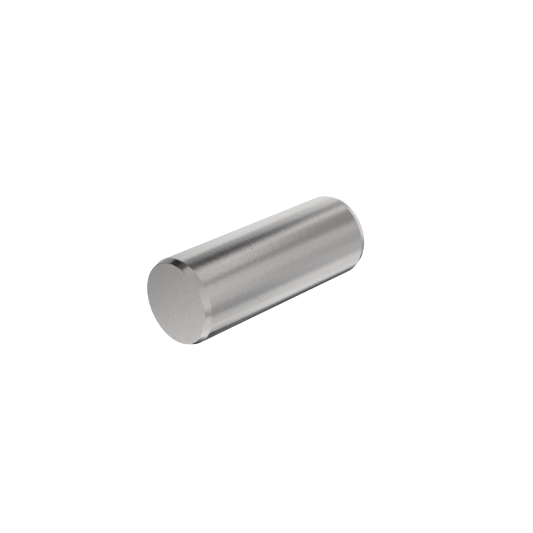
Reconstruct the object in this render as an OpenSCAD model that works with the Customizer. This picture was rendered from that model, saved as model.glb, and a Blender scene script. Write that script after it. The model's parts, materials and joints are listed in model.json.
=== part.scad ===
// Straight dowel pin: one solid rod of ground stainless steel, with the same lead-in chamfer at both ends.
// It stands on one end face. The origin is the centre of that face, and +Z runs along the axis.

/* [Shank] */
// Diameter of the ground shank, which is what a reamed hole grips
pin_d = 6; // [3:0.5:20]
// Overall length, from end face to end face
pin_len = 16; // [8:1:60]

/* [Ends] */
// Length of each lead-in chamfer, along the axis
chamfer_len = 0.5; // [0.3:0.05:1.2]
// Slope of the chamfer, in degrees from the axis
chamfer_angle = 20; // [12:1:30]
// Radius that breaks the two edges of each chamfer
edge_break = 0.06; // [0.02:0.01:0.12]

/* [Hidden] */

pin_r = pin_d / 2;
// Radius of the flat end face, where the chamfer's slope would meet it in a sharp corner
face_r = pin_r - chamfer_len * tan(chamfer_angle);
// Straight steps that an edge break is drawn with
break_steps = 4;
$fn = 128;

function unit(v) = v / norm(v);

// The arc that rounds corner b of the path a, b, c with radius r
function rounded_corner(a, b, c, r) =
    let (
        to_a = unit(a - b),
        to_c = unit(c - b),
        half = acos(to_a * to_c) / 2,
        centre = b + unit(to_a + to_c) * r / sin(half),
        first = b + to_a * r / tan(half) - centre,
        last = b + to_c * r / tan(half) - centre,
        sweep = 180 - 2 * half
    )
    [for (i = [0 : break_steps])
        let (turned = sweep * i / break_steps)
        centre + (sin(sweep - turned) * first + sin(turned) * last) / sin(sweep)];

// Half section of the lower end, from its centre out to the shank, as [radius, height]
function lower_end() =
    let (
        centre = [0, 0],
        face_edge = [face_r, 0],
        shank_edge = [pin_r, chamfer_len],
        mid_shank = [pin_r, pin_len / 2]
    )
    concat(
        [centre],
        rounded_corner(centre, face_edge, shank_edge, edge_break),
        rounded_corner(face_edge, shank_edge, mid_shank, edge_break)
    );

// The same points turned end for end, in the order that carries the outline on
function upper_end(lower) =
    [for (i = [len(lower) - 1 : -1 : 0]) [lower[i][0], pin_len - lower[i][1]]];

module dowel_pin() {
    color([0.62, 0.61, 0.60])
        rotate_extrude()
            polygon(concat(lower_end(), upper_end(lower_end())));
}

dowel_pin();
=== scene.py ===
# %% [markdown]
# # A ground steel dowel pin
# A dowel pin is a short rod of steel that lines up two machine parts. It is turned from bar, chamfered and
# faced at both ends, and then its shank is ground to size between two wheels.
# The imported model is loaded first. It is the frame that everything here is measured from.

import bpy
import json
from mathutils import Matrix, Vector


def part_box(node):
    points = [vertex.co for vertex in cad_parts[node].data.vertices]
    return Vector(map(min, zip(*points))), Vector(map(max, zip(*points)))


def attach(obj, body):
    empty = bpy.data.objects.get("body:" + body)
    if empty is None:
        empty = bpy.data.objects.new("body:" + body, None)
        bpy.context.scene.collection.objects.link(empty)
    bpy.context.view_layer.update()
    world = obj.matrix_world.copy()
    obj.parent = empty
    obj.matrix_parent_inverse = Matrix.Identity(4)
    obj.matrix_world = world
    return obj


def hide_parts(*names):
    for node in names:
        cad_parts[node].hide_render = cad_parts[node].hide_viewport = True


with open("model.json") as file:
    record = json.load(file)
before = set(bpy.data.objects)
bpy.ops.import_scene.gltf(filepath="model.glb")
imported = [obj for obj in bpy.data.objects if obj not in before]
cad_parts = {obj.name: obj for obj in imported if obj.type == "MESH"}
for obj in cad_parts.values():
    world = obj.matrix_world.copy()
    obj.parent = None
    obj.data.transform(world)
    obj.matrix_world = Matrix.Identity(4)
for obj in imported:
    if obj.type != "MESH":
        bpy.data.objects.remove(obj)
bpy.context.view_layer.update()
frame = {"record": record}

# %% Tools
import json
import math

import bmesh
import bpy
from mathutils import Matrix, Vector

MM = 0.001
print("Blender", bpy.app.version_string)

# %% [markdown]
# ## Sizes
# The pin stands on its lower end, with its axis on Z. Its radius comes from the record, where the shank is
# a mount with an exact size, and its length comes from the frame. The frame's own triangles are too coarse
# to measure the chamfer on, so its sizes are repeated here.

# %% The pin's sizes, in millimetres
shank = next(mount for mount in frame["record"]["mounts"] if mount["name"] == "shank")
low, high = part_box("dowel_pin")
pin_len = (high.z - low.z) / MM
shank_r = shank["dims"]["r_mm"]
chamfer_len = 0.5
chamfer_angle = math.radians(20)
edge_break = 0.06
face_r = shank_r - chamfer_len * math.tan(chamfer_angle)
print(f"pin {2 * shank_r:.2f} x {pin_len:.2f} mm, end faces {2 * face_r:.2f} mm across")

# %% [markdown]
# ## The outline
# Everything on the pin is round, so half of its section can be drawn and spun about the axis, which is what
# a lathe does. Six corners make the outline: the centre of each end, the edge of each end face, and both
# ends of the shank. A cylinder with bevelled rims would work too, but it gives less say over the chamfer's
# slope.

# %% Draw the outline's corners
def wire_through(bm, corners):
    """A chain of edges through corners given as (radius, height)."""
    verts = [bm.verts.new((radius, 0, height)) for radius, height in corners]
    for start, end in zip(verts, verts[1:]):
        bm.edges.new((start, end))
    return verts


pin = bmesh.new()
outline = wire_through(pin, [
    (0, 0),
    (face_r, 0),
    (shank_r, chamfer_len),
    (shank_r, pin_len - chamfer_len),
    (face_r, pin_len),
    (0, pin_len),
])
print("outline corners:", len(outline))

# %% [markdown]
# Tumbling takes the sharpness off a pin, so each corner is rounded with the same small radius. A bevel on a
# vertex is set by how far it cuts back along the edges, and that depends on the corner's angle: a radius
# that touches both sides of a corner starts radius / tan(half the angle) away from it.

# %% Round the corners
BREAK_STEPS = 6
face_corner_angle = math.radians(90) + chamfer_angle
shank_corner_angle = math.radians(180) - chamfer_angle


def cut_back(inside_angle):
    """How far from a corner its edge break starts."""
    return edge_break / math.tan(inside_angle / 2)


def round_corners(bm, corners, inside_angle):
    bmesh.ops.bevel(
        bm, geom=corners, offset=cut_back(inside_angle), offset_type="OFFSET",
        segments=BREAK_STEPS, profile=0.5, affect="VERTICES", material=-1,
    )


round_corners(pin, [outline[1], outline[4]], face_corner_angle)
round_corners(pin, [outline[2], outline[3]], shank_corner_angle)
print("outline points:", len(pin.verts))

# %% [markdown]
# Smooth shading blends the direction of neighbouring faces, and a flat face next to a rounded edge would
# look dished. A holding ring close to the edge keeps that blend narrow. On the outline a ring is only one
# more point, which a cutting plane adds. The same cuts are made for both ends.

# %% Add the holding rings
HOLD = 0.02
SAME_PLACE = 1e-5


def cut_across(bm, place, direction):
    everything = bm.verts[:] + bm.edges[:]
    bmesh.ops.bisect_plane(bm, geom=everything, dist=SAME_PLACE, plane_co=place, plane_no=direction)


def cut_both_ends(bm, height):
    cut_across(bm, (0, 0, height), (0, 0, 1))
    cut_across(bm, (0, 0, pin_len - height), (0, 0, 1))


chamfer_start = cut_back(face_corner_angle) * math.cos(chamfer_angle)
chamfer_end = chamfer_len - cut_back(shank_corner_angle) * math.cos(chamfer_angle)
shank_start = chamfer_len + cut_back(shank_corner_angle)
cut_across(pin, (face_r - cut_back(face_corner_angle) - HOLD, 0, 0), (1, 0, 0))
cut_both_ends(pin, chamfer_start + HOLD)
cut_both_ends(pin, chamfer_end - HOLD)
cut_both_ends(pin, shank_start + HOLD)
print("outline points with holding rings:", len(pin.verts))

# %% [markdown]
# ## The solid
# The outline is spun a full turn in many small steps, so that its rim looks round from close up. The spin
# leaves a stack of points where the outline touches the axis. Merging them closes both ends, and the
# normals are worked out again after that, so that every face points outwards.

# %% Spin the outline
ROUND_STEPS = 256
bmesh.ops.spin(
    pin, geom=pin.verts[:] + pin.edges[:], cent=(0, 0, 0), axis=(0, 0, 1), dvec=(0, 0, 0),
    angle=math.radians(360), steps=ROUND_STEPS, use_merge=True, use_duplicate=False,
)
bmesh.ops.remove_doubles(pin, verts=pin.verts, dist=SAME_PLACE)
bmesh.ops.recalc_face_normals(pin, faces=pin.faces)
open_edges = [edge for edge in pin.edges if not edge.is_manifold]
print(f"{len(pin.faces)} faces, {len(open_edges)} open edges, {pin.calc_volume(signed=True):.1f} mm3")

# %% [markdown]
# Four finishes meet on the pin, and the slope of a face tells which one it has: the end faces look along
# the axis, the shank looks straight out from it, and the chamfers lean by 20 degrees. What is left over are
# the broken edges between them. The lean is read from the normal's height, which hardly changes with the
# angle near 1, so the end faces have a smaller margin.

# %% Sort the faces by finish
SHANK, CHAMFER, END_FACE, BROKEN_EDGE = range(4)
chamfer_lean = math.sin(chamfer_angle)
MARGIN = 0.01
FLAT_MARGIN = 0.001


def finish_of(face):
    lean = abs(face.normal.z)
    if lean < MARGIN:
        return SHANK
    if lean > 1 - FLAT_MARGIN:
        return END_FACE
    if abs(lean - chamfer_lean) < MARGIN:
        return CHAMFER
    return BROKEN_EDGE


for face in pin.faces:
    face.smooth = True
    face.material_index = finish_of(face)
for number, name in enumerate(["shank", "chamfer", "end face", "broken edge"]):
    area = sum(face.calc_area() for face in pin.faces if face.material_index == number)
    print(f"{name}: {area:.1f} mm2")

# %% Make it an object, in metres
bmesh.ops.scale(pin, vec=(MM, MM, MM), verts=pin.verts)
pin_mesh = bpy.data.meshes.new("dressed_pin")
pin.to_mesh(pin_mesh)
pin.free()
dressed_pin = bpy.data.objects.new("dressed_pin", pin_mesh)
bpy.context.scene.collection.objects.link(dressed_pin)
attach(dressed_pin, "root")
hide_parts("dowel_pin")
print("pin triangles:", sum(len(polygon.vertices) - 2 for polygon in pin_mesh.polygons))

# %% [markdown]
# ## Finishes
# The four finishes are one steel, so they have nearly one colour and differ in how they were cut. Small
# helpers keep the node trees short. Every pattern is noise on Object coordinates, sized in millimetres, so
# that the grain stays where it is on the pin and needs no image.

# %% Start a finish
STEEL = (0.598, 0.588, 0.580)


def add_node(tree, kind, **settings):
    node = tree.nodes.new(kind)
    for name, value in settings.items():
        setattr(node, name, value)
    return node


def new_steel(name, roughness=0.15):
    """A material of bare steel. It returns the material, its node tree and its shader."""
    material = bpy.data.materials.new(name)
    material.use_nodes = True
    tree = material.node_tree
    shader = tree.nodes["Principled BSDF"]
    shader.inputs["Metallic"].default_value = 1.0
    shader.inputs["Roughness"].default_value = roughness
    return material, tree, shader


print("steel colour:", STEEL)

# %% Helpers for grain
def grain(tree, size_mm, detail=2.0):
    """Noise whose grains are size_mm = (x, y, z) across. Its values lie round 0.5."""
    place = add_node(tree, "ShaderNodeTexCoord")
    stretch = add_node(tree, "ShaderNodeMapping")
    stretch.inputs["Scale"].default_value = [1 / (size * MM) for size in size_mm]
    noise = add_node(tree, "ShaderNodeTexNoise", noise_dimensions="3D")
    noise.inputs["Scale"].default_value = 1.0
    noise.inputs["Detail"].default_value = detail
    tree.links.new(place.outputs["Object"], stretch.inputs["Vector"])
    tree.links.new(stretch.outputs["Vector"], noise.inputs["Vector"])
    return noise.outputs["Fac"]


NOISE_LOW = 0.3
NOISE_HIGH = 0.7


def spread(tree, value, lowest, highest):
    """Maps the values that a noise mostly has to the range from lowest to highest."""
    node = add_node(tree, "ShaderNodeMapRange")
    tree.links.new(value, node.inputs["Value"])
    ends = {"From Min": NOISE_LOW, "From Max": NOISE_HIGH, "To Min": lowest, "To Max": highest}
    for name, number in ends.items():
        node.inputs[name].default_value = number
    return node.outputs["Result"]


print("a noise mostly lies between", NOISE_LOW, "and", NOISE_HIGH)

# %% Helpers for height and colour
def bump(tree, height, depth_mm, under=None):
    node = add_node(tree, "ShaderNodeBump")
    node.inputs["Strength"].default_value = 1.0
    node.inputs["Distance"].default_value = depth_mm * MM
    tree.links.new(height, node.inputs["Height"])
    if under:
        tree.links.new(under, node.inputs["Normal"])
    return node.outputs["Normal"]


def tinted(tree, amount, colour, change, warmth=0.0):
    """The colour, from 1 - change to 1 + change times as light, and redder by warmth where it is lighter."""
    mix = add_node(tree, "ShaderNodeMix", data_type="RGBA")
    shifts = (warmth, 0, -warmth)
    darker = [part * (1 - change) * (1 - shift) for part, shift in zip(colour, shifts)]
    lighter = [part * (1 + change) * (1 + shift) for part, shift in zip(colour, shifts)]
    tree.links.new(spread(tree, amount, lowest=0, highest=1), mix.inputs["Factor"])
    mix.inputs["A"].default_value = (*darker, 1)
    mix.inputs["B"].default_value = (*lighter, 1)
    return mix.outputs["Result"]


print("a noise becomes a colour through", tinted.__name__, "and a relief through", bump.__name__)

# %% [markdown]
# Handling leaves marks, and this pin has two: a dark pit about as wide as a hair, and one short, faint
# scratch that runs askew. Each could be cut into the mesh, but at this size the eye only sees that the
# steel is darker there. So each is a bubble laid into the surface, inside which the shade of the pit or of
# the scratch's groove is painted into the colour. A Mapping node of the Texture kind gives a point's place
# in the bubble's own measure, in which the bubble is 1 long, 1 wide and 1 deep. Its edge is then 0.5 from
# its middle. That is half-way through the range that the spread helper maps, so the painted shade fades out
# across its edge.

# %% Marks from handling, darkened with painted shade
MARK_DEPTH = 0.2
# the colours of the pit and the scratch are painted shade: darker steel that stands in for the shade in their
# hollows
PIT_SHADE = (0.25, 0.24, 0.23)
SCRATCH_SHADE = (0.49, 0.485, 0.48)


def on_shank(bearing, height):
    """A point on the shank, at a bearing in degrees round from the front, -Y, towards +X."""
    turn = math.radians(bearing)
    return Vector((shank_r * math.sin(turn), -shank_r * math.cos(turn), height))


def mark(tree, start, end, width):
    """How much of a mark is here: 1 along its middle, 0 outside it."""
    middle = (start + end) / 2
    along = (end - start).normalized()
    across = Vector((middle.x, middle.y, 0)).cross(along).normalized()
    outwards = along.cross(across)
    local = add_node(tree, "ShaderNodeMapping", vector_type="TEXTURE")
    local.inputs["Location"].default_value = middle * MM
    local.inputs["Rotation"].default_value = Matrix((along, across, outwards)).transposed().to_euler()
    local.inputs["Scale"].default_value = Vector(((end - start).length, width, MARK_DEPTH)) * MM
    from_middle = add_node(tree, "ShaderNodeVectorMath", operation="LENGTH")
    tree.links.new(add_node(tree, "ShaderNodeTexCoord").outputs["Object"], local.inputs["Vector"])
    tree.links.new(local.outputs["Vector"], from_middle.inputs[0])
    return spread(tree, from_middle.outputs["Value"], lowest=1, highest=0)


def with_painted_shade(tree, colour, where, shade_colour):
    """The colour, which turns into a darker colour of painted shade where a mark is."""
    mix = add_node(tree, "ShaderNodeMix", data_type="RGBA")
    tree.links.new(where, mix.inputs["Factor"])
    tree.links.new(colour, mix.inputs["A"])
    mix.inputs["B"].default_value = (*shade_colour, 1)
    return mix.outputs["Result"]


PIT = [on_shank(bearing=25.3, height=10.34), on_shank(bearing=25.3, height=10.42)]
SCRATCH = [on_shank(bearing=-36, height=11.5), on_shank(bearing=-48, height=10.9)]
print(f"scratch: {(SCRATCH[1] - SCRATCH[0]).length:.2f} mm long")

# %% [markdown]
# The shank is centreless ground: it turns between two wheels that leave short, fine marks round it. The
# noise for them is about three times longer across the axis than along it. The marks tilt the surface a
# little, which breaks up the edges of the reflected bands into fine strokes, and they vary the roughness. A
# rounder noise, about half as deep, gives the mottle that the steel itself has.

# %% The ground shank
def ground_shank():
    material, tree, shader = new_steel("ground_shank")
    strokes = grain(tree, size_mm=(0.36, 0.36, 0.125), detail=4.0)
    mottle = grain(tree, size_mm=(0.15, 0.15, 0.12), detail=4.0)
    colour = tinted(tree, mottle, STEEL, change=0.036, warmth=0.015)
    # painted shade in the pit and in the scratch's groove
    colour = with_painted_shade(tree, colour, mark(tree, *PIT, width=0.07), shade_colour=PIT_SHADE)
    colour = with_painted_shade(tree, colour, mark(tree, *SCRATCH, width=0.05), shade_colour=SCRATCH_SHADE)
    relief = bump(tree, mottle, depth_mm=0.005, under=bump(tree, strokes, depth_mm=0.009))
    tree.links.new(spread(tree, strokes, lowest=0.105, highest=0.185), shader.inputs["Roughness"])
    tree.links.new(colour, shader.inputs["Base Color"])
    tree.links.new(relief, shader.inputs["Normal"])
    return material


pin_mesh.materials.append(ground_shank())
print("shank finish:", pin_mesh.materials[SHANK].name)

# %% [markdown]
# The chamfer is turned, not ground, so it is smoother to look at, with a few lines that run all the way
# round, and a touch warmer in colour. The noise for the lines is very long across the axis.

# %% The turned chamfers
WARM_STEEL = (0.600, 0.580, 0.569)


def turned_chamfer():
    material, tree, shader = new_steel("turned_chamfer")
    lines = grain(tree, size_mm=(1.5, 1.5, 0.08))
    tree.links.new(tinted(tree, lines, WARM_STEEL, change=0.04), shader.inputs["Base Color"])
    tree.links.new(bump(tree, lines, depth_mm=0.007), shader.inputs["Normal"])
    return material


pin_mesh.materials.append(turned_chamfer())
print("chamfer finish:", pin_mesh.materials[CHAMFER].name)

# %% [markdown]
# The end faces are matt with a very fine, even grain and show no bands at all, so they are much rougher.
# The broken edges were tumbled, which leaves them between the two, with small nicks.

# %% The end faces and the broken edges
FACED_STEEL = (0.60, 0.586, 0.577)


def faced_end():
    material, tree, shader = new_steel("faced_end", roughness=0.42)
    speckle = grain(tree, size_mm=(0.12, 0.12, 0.12), detail=3.0)
    tree.links.new(tinted(tree, speckle, FACED_STEEL, change=0.09, warmth=0.004), shader.inputs["Base Color"])
    tree.links.new(bump(tree, speckle, depth_mm=0.004), shader.inputs["Normal"])
    return material


def broken_edge():
    material, tree, shader = new_steel("broken_edge")
    nicks = grain(tree, size_mm=(0.1, 0.1, 0.1))
    tree.links.new(spread(tree, nicks, lowest=0.2, highest=0.3), shader.inputs["Roughness"])
    tree.links.new(tinted(tree, nicks, STEEL, change=0.05), shader.inputs["Base Color"])
    return material


pin_mesh.materials.append(faced_end())
pin_mesh.materials.append(broken_edge())
print("finishes:", [material.name for material in pin_mesh.materials])

# %% [markdown]
# ## The floor
# The floor is a wide disc just under the pin. It should render white and still take the pin's soft shadow.
# A white paint would throw light back up at the pin, so the paint is grey, and a glow that only the camera
# sees lifts it to white. The floor is kept out of reflections: the pin stands on it, so its lower half
# would mirror nothing but floor, and the tent that comes later gives it something better to show.

# %% Helpers for everything round the pin
STAGE_STEPS = 128


def put_on_stage(name, bm, material):
    """Makes an object of a bmesh drawn in millimetres and gives it a material."""
    bmesh.ops.scale(bm, vec=(MM, MM, MM), verts=bm.verts)
    mesh = bpy.data.meshes.new(name)
    bm.to_mesh(mesh)
    bm.free()
    mesh.materials.append(material)
    piece = bpy.data.objects.new(name, mesh)
    bpy.context.scene.collection.objects.link(piece)
    return piece


def disc(radius, height):
    bm = bmesh.new()
    bmesh.ops.create_circle(bm, cap_ends=True, segments=STAGE_STEPS, radius=radius)
    bmesh.ops.translate(bm, vec=(0, 0, height), verts=bm.verts)
    return bm


print("round pieces of the stage have", STAGE_STEPS, "sides")

# %% The white floor
FLOOR_R = 600
FLOOR_HEIGHT = -0.01
FLOOR_GREY = (0.4, 0.4, 0.4, 1)
FLOOR_GLOW = 0.8
WHITE = (1, 1, 1, 1)
floor_paint = bpy.data.materials.new("floor_paint")
floor_paint.use_nodes = True
floor_tree = floor_paint.node_tree
paint = floor_tree.nodes["Principled BSDF"]
paint.inputs["Base Color"].default_value = FLOOR_GREY
paint.inputs["Roughness"].default_value = 1.0
paint.inputs["Specular IOR Level"].default_value = 0.0
paint.inputs["Emission Color"].default_value = WHITE
seen_by = add_node(floor_tree, "ShaderNodeLightPath")
glow_seen = add_node(floor_tree, "ShaderNodeMath", operation="MULTIPLY")
glow_seen.inputs[1].default_value = FLOOR_GLOW
floor_tree.links.new(seen_by.outputs["Is Camera Ray"], glow_seen.inputs[0])
floor_tree.links.new(glow_seen.outputs[0], paint.inputs["Emission Strength"])

floor = put_on_stage("white_floor", disc(FLOOR_R, FLOOR_HEIGHT), floor_paint)
floor.visible_glossy = False
floor.visible_shadow = False
print("floor:", 2 * FLOOR_R, "mm across")

# %% [markdown]
# ## The room
# The room is plain white on all sides. At a strength of 1 a colour renders about as it is written.

# %% The white room
room = bpy.data.worlds.new("white_room")
room.use_nodes = True
room.node_tree.nodes["Background"].inputs["Color"].default_value = WHITE
room.node_tree.nodes["Background"].inputs["Strength"].default_value = 1.0
bpy.context.scene.world = room
print("room:", room.name)

# %% [markdown]
# ## The tent
# Bare steel has hardly any look of its own: it shows what stands round it. So a small tent of pale cloth is
# put round the part, and softboxes, dark flags and gaps in the cloth become the bands on the metal. It has
# to be a near tent. A straight rod shows the same bands all along in a distant room, while close to a wall
# they shift and fade from one end to the other.
# Only reflections see the tent. It casts no shadow, and it doesn't hide the pin from any side.

# %% A cloth that glows
def calculate(tree, operation, *values):
    node = add_node(tree, "ShaderNodeMath", operation=operation)
    for socket, value in zip(node.inputs, values):
        if isinstance(value, (int, float)):
            socket.default_value = value
        else:
            tree.links.new(value, socket)
    return node.outputs[0]


def new_cloth(name):
    """A material that only glows. It returns the material, its node tree and its emission node."""
    material = bpy.data.materials.new(name)
    material.use_nodes = True
    tree = material.node_tree
    tree.nodes.remove(tree.nodes["Principled BSDF"])
    glow = add_node(tree, "ShaderNodeEmission")
    tree.links.new(glow.outputs["Emission"], tree.nodes["Material Output"].inputs["Surface"])
    return material, tree, glow


def hide_from_all_but_reflections(piece):
    piece.visible_camera = False
    piece.visible_diffuse = False
    piece.visible_shadow = False


wall_cloth, wall_tree, wall_glow = new_cloth("wall_cloth")
print("cloth:", wall_cloth.name)

# %% The tent's wall
TENT_R = 30
TENT_BOTTOM = -45
TENT_TOP = 65
wall_bm = bmesh.new()
bmesh.ops.create_circle(wall_bm, cap_ends=False, segments=STAGE_STEPS, radius=TENT_R)
bmesh.ops.translate(wall_bm, vec=(0, 0, TENT_BOTTOM), verts=wall_bm.verts)
raised = bmesh.ops.extrude_edge_only(wall_bm, edges=wall_bm.edges[:])["geom"]
upper_rim = [item for item in raised if isinstance(item, bmesh.types.BMVert)]
bmesh.ops.translate(wall_bm, vec=(0, 0, TENT_TOP - TENT_BOTTOM), verts=upper_rim)
hide_from_all_but_reflections(put_on_stage("tent_wall", wall_bm, wall_cloth))
print(f"tent wall: {2 * TENT_R} mm across, {TENT_TOP - TENT_BOTTOM} mm high")

# %% [markdown]
# Each panel on the wall is a soft-edged patch. Its middle is given by a bearing, in degrees round the pin:
# 0 is straight towards the camera, and positive is towards +X, which the cells below call the right. The
# panel's edge is soft across a few degrees at the sides and a few millimetres at the top and bottom. It may
# lean, by so many degrees for each millimetre of height. Seen from the camera, the shank mirrors the wall
# at heights from -25 to -8, the upper chamfer from 0 to 20, and the upper end face above 20 on the far
# side.

# %% Where a point of the cloth is
LEAN_FROM = -30.0
LEAN_TO = 20.0
wall_place = add_node(wall_tree, "ShaderNodeSeparateXYZ")
wall_tree.links.new(add_node(wall_tree, "ShaderNodeTexCoord").outputs["Object"], wall_place.inputs[0])
to_camera = calculate(wall_tree, "MULTIPLY", wall_place.outputs["Y"], -1.0)
bearing_here = calculate(wall_tree, "ARCTAN2", wall_place.outputs["X"], to_camera)
height_here = calculate(wall_tree, "MULTIPLY", wall_place.outputs["Z"], 1 / MM)
not_above = calculate(wall_tree, "MINIMUM", height_here, LEAN_TO)
lean_height = calculate(wall_tree, "MAXIMUM", not_above, LEAN_FROM)
print(f"panels may lean between heights {LEAN_FROM} and {LEAN_TO} mm")

# %% How a panel is hung
def ramp(tree, value, start, end, at_start=0.0, at_end=1.0):
    """A smooth step, from at_start where the value is start to at_end where it is end."""
    node = add_node(tree, "ShaderNodeMapRange", interpolation_type="SMOOTHSTEP", clamp=True)
    tree.links.new(value, node.inputs["Value"])
    ends = {"From Min": start, "From Max": end, "To Min": at_start, "To Max": at_end}
    for name, number in ends.items():
        node.inputs[name].default_value = number
    return node.outputs["Result"]


def stripe(bearing, half_width, soft, lean=0.0):
    """1 inside a soft-edged stripe that runs from the base to the roof, and 0 outside it."""
    middle = calculate(wall_tree, "MULTIPLY_ADD", lean_height, math.radians(lean), math.radians(bearing))
    nearness = calculate(wall_tree, "COSINE", calculate(wall_tree, "SUBTRACT", bearing_here, middle))
    outer = math.cos(math.radians(half_width + soft))
    inner = math.cos(math.radians(half_width - soft))
    return ramp(wall_tree, nearness, outer, inner)


panels = []


def hang(change, bearing, half_width, soft, bottom=None, top=None, fade=5, lean=0.0):
    """Makes the wall brighter or darker by change inside one soft-edged panel."""
    inside = stripe(bearing, half_width, soft, lean)
    if bottom is not None:
        above = ramp(wall_tree, height_here, bottom - fade, bottom + fade)
        inside = calculate(wall_tree, "MULTIPLY", inside, above)
    if top is not None:
        below = ramp(wall_tree, height_here, top - fade, top + fade, 1.0, 0.0)
        inside = calculate(wall_tree, "MULTIPLY", inside, below)
    panels.append(calculate(wall_tree, "MULTIPLY", inside, change))


print("panels hung so far:", len(panels))

# %% [markdown]
# The left side is lit by one tall softbox with a duller foot. Behind it hang two flags side by side, which
# draw the dark line along the pin's left edge. Towards the upper end that line is wider and not as black,
# which takes a small flag and a weak glow. A gap in front of the softbox sets it off from the middle.

# %% The left side
# the softbox, its duller foot, and the gap in front of it, which is lighter at its lower end
hang(0.35, bearing=-93, half_width=23, soft=12, top=24, fade=6, lean=0.5)
hang(-0.08, bearing=-102, half_width=12, soft=6, top=-21, fade=3)
hang(-0.35, bearing=-70, half_width=20, soft=15, bottom=-15, top=20, fade=10, lean=0.2)
hang(0.08, bearing=-77, half_width=6, soft=4, top=-12, fade=4)
# the flags behind it
hang(-0.5, bearing=-140, half_width=15, soft=8, lean=0.1)
hang(-0.45, bearing=-169, half_width=15, soft=8, top=5)
# the small flag and the weak glow near the top of the dark line
hang(-0.35, bearing=-117, half_width=13, soft=5, bottom=-10, top=0)
hang(0.1, bearing=-148, half_width=18, soft=6, bottom=-12, top=-6)
print("panels hung on the left:", len(panels))

# %% [markdown]
# On the right a low flag makes the darkest band on the shank, which fades out towards the lower end, and a
# second one above it makes the black patch on the chamfer. A small glow in front of the flag lights the
# edge of the band's lower end. A wide, low softbox stands behind them, with a slightly duller cloth at its
# back.

# %% The right side
# the two flags
hang(-0.54, bearing=76, half_width=19, soft=8, bottom=-22, top=5, fade=14, lean=-0.4)
hang(-0.5, bearing=87, half_width=20, soft=5, bottom=5, top=40, fade=12)
# the small glow
hang(0.18, bearing=58, half_width=6, soft=4, top=-19, fade=4)
# the softbox, and the duller cloth
hang(0.36, bearing=117, half_width=37, soft=8, top=-4, fade=12, lean=-0.2)
hang(-0.12, bearing=165, half_width=34, soft=15, top=-3, lean=-0.3)
print("panels hung on the left and right:", len(panels))

# %% [markdown]
# The front stays quiet. A broad glow and a narrow one, each with a gap beside it, all of them weak and most
# of them leaning, give the grey bands in the middle of the shank, which cross it slightly askew. One narrow
# seam is only seen in the chamfer, as the dull spot between its bright and its warm part.

# %% The front
# the broad glow, and its gap
hang(0.25, bearing=-45, half_width=35, soft=30, bottom=-5, top=25, fade=20, lean=-0.4)
hang(-0.1, bearing=-40, half_width=10, soft=9, top=5, lean=-0.4)
# the narrow glow, and its gap
hang(0.44, bearing=30, half_width=11, soft=9, bottom=-15, top=0, fade=10, lean=-0.5)
hang(-0.27, bearing=27, half_width=15, soft=10, top=15)
# the seam
hang(-0.15, bearing=-54, half_width=4, soft=3, bottom=8, top=20)
print("panels hung on three sides:", len(panels))

# %% [markdown]
# The matt end face averages a large part of the upper wall on the far side. The wall is bright there on the
# left and dark on the right, so the face goes softly from light to less light.

# %% The far side, for the end face
hang(0.75, bearing=-140, half_width=35, soft=3, bottom=12, fade=10, lean=-0.2)
hang(-0.35, bearing=160, half_width=55, soft=15, bottom=2, fade=15, lean=-1.0)
print("panels hung in all:", len(panels))

# %% [markdown]
# The panels are added to the light of the bare cloth. No cloth is quite black, so the sum stops short of 0.
# The light from the front is a touch warmer than the rest, as if a wooden bench stood there, and steel
# shows even that: the front of the chamfer turns faintly pink.

# %% Light the wall
CLOTH_LIGHT = 0.65
DARKEST_CLOTH = 0.02
WARM_LIGHT = (1.011, 0.995, 0.985, 1)
wall_light = CLOTH_LIGHT
for panel in panels:
    wall_light = calculate(wall_tree, "ADD", panel, wall_light)
wall_light = calculate(wall_tree, "MAXIMUM", wall_light, DARKEST_CLOTH)
wall_tree.links.new(wall_light, wall_glow.inputs["Strength"])

warm_part = stripe(bearing=19, half_width=48, soft=15)
wall_colour = add_node(wall_tree, "ShaderNodeMix", data_type="RGBA")
wall_colour.inputs["A"].default_value = WHITE
wall_colour.inputs["B"].default_value = WARM_LIGHT
wall_tree.links.new(warm_part, wall_colour.inputs["Factor"])
wall_tree.links.new(wall_colour.outputs["Result"], wall_glow.inputs["Color"])
print("bare cloth shines at", CLOTH_LIGHT, "and the wall's material has", len(wall_tree.nodes), "nodes")

# %% [markdown]
# A roof and a base close the tent. Without the roof, the broken edge round the upper face would mirror the
# white room as a hard white line. The base is what the lower chamfer mirrors: a white strip on dark cloth,
# so that this chamfer shines on one side only.

# %% The roof
ROOF_LIGHT = 0.6
roof_cloth, roof_tree, roof_glow = new_cloth("roof_cloth")
roof_glow.inputs["Strength"].default_value = ROOF_LIGHT
hide_from_all_but_reflections(put_on_stage("tent_roof", disc(TENT_R, TENT_TOP), roof_cloth))
print("roof light:", ROOF_LIGHT)

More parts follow.
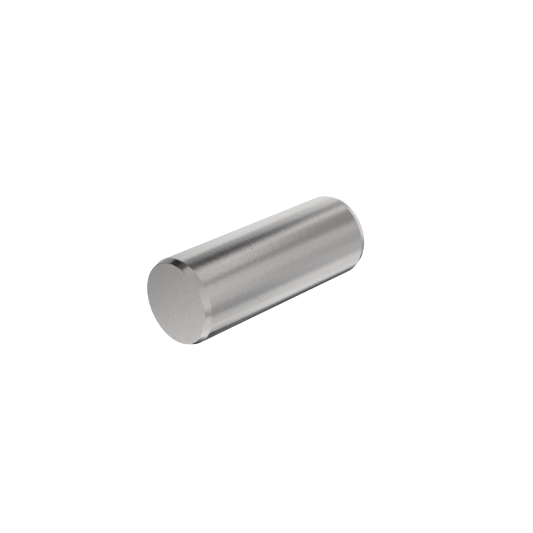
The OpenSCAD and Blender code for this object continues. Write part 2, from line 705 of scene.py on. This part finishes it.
# %% The base
STRIP_LEFT = -15
STRIP_RIGHT = 17
STRIP_FADE = 5
STRIP_LIGHT = 1.0
BASE_LIGHT = 0.3
base_cloth, base_tree, base_glow = new_cloth("base_cloth")
base_place = add_node(base_tree, "ShaderNodeSeparateXYZ")
base_tree.links.new(add_node(base_tree, "ShaderNodeTexCoord").outputs["Object"], base_place.inputs[0])
across = calculate(base_tree, "MULTIPLY", base_place.outputs["X"], 1 / MM)
from_left = ramp(base_tree, across, STRIP_LEFT - STRIP_FADE, STRIP_LEFT + STRIP_FADE)
to_right = ramp(base_tree, across, STRIP_RIGHT - STRIP_FADE, STRIP_RIGHT + STRIP_FADE, 1.0, 0.0)
strip = calculate(base_tree, "MULTIPLY", from_left, to_right)
base_light = calculate(base_tree, "MULTIPLY_ADD", strip, STRIP_LIGHT - BASE_LIGHT, BASE_LIGHT)
base_tree.links.new(base_light, base_glow.inputs["Strength"])
hide_from_all_but_reflections(put_on_stage("tent_base", disc(TENT_R, TENT_BOTTOM), base_cloth))
print(f"white strip from {STRIP_LEFT} to {STRIP_RIGHT} mm")

# %% [markdown]
# ## The camera
# The camera looks down at the pin from in front and is rolled by more than a right angle, so that the
# standing pin lies across the view with its upper end at the lower left. It is placed by where the centre
# of the upper end face falls, in pixels, and by how far away that face is.

# %% The camera
SENSOR_MM = 36
VIEW_PIXELS = 533
FACE_CENTRE = (174.9, 304.0)
FACE_DEPTH = 69.5
ELEVATION = math.radians(40.44)
ROLL = math.radians(-113.97)
FOCAL_PIXELS = 1065
NEAREST_SEEN = 1

camera_data = bpy.data.cameras.new("camera")
camera_data.sensor_width = SENSOR_MM
camera_data.lens = SENSOR_MM * FOCAL_PIXELS / VIEW_PIXELS
camera_data.clip_start = NEAREST_SEEN * MM
camera = bpy.data.objects.new("camera", camera_data)
bpy.context.scene.collection.objects.link(camera)
bpy.context.scene.camera = camera
turn = Matrix.Rotation(math.radians(90) - ELEVATION, 4, "X") @ Matrix.Rotation(ROLL, 4, "Z")
sideways = (FACE_CENTRE[0] - VIEW_PIXELS / 2) / FOCAL_PIXELS * FACE_DEPTH
upwards = -(FACE_CENTRE[1] - VIEW_PIXELS / 2) / FOCAL_PIXELS * FACE_DEPTH
face_seen_at = Vector((sideways, upwards, -FACE_DEPTH)) * MM
camera.matrix_world = Matrix.Translation(Vector((0, 0, high.z)) - turn.to_3x3() @ face_seen_at) @ turn
print("camera at", [round(value / MM, 1) for value in camera.matrix_world.translation], "mm")

# %% [markdown]
# ## Finish
# The dressed pin must be as large as the imported one. The Standard view shows colours as they are, with
# no film curve.

# %% Finish
bpy.context.scene.view_settings.view_transform = "Standard"
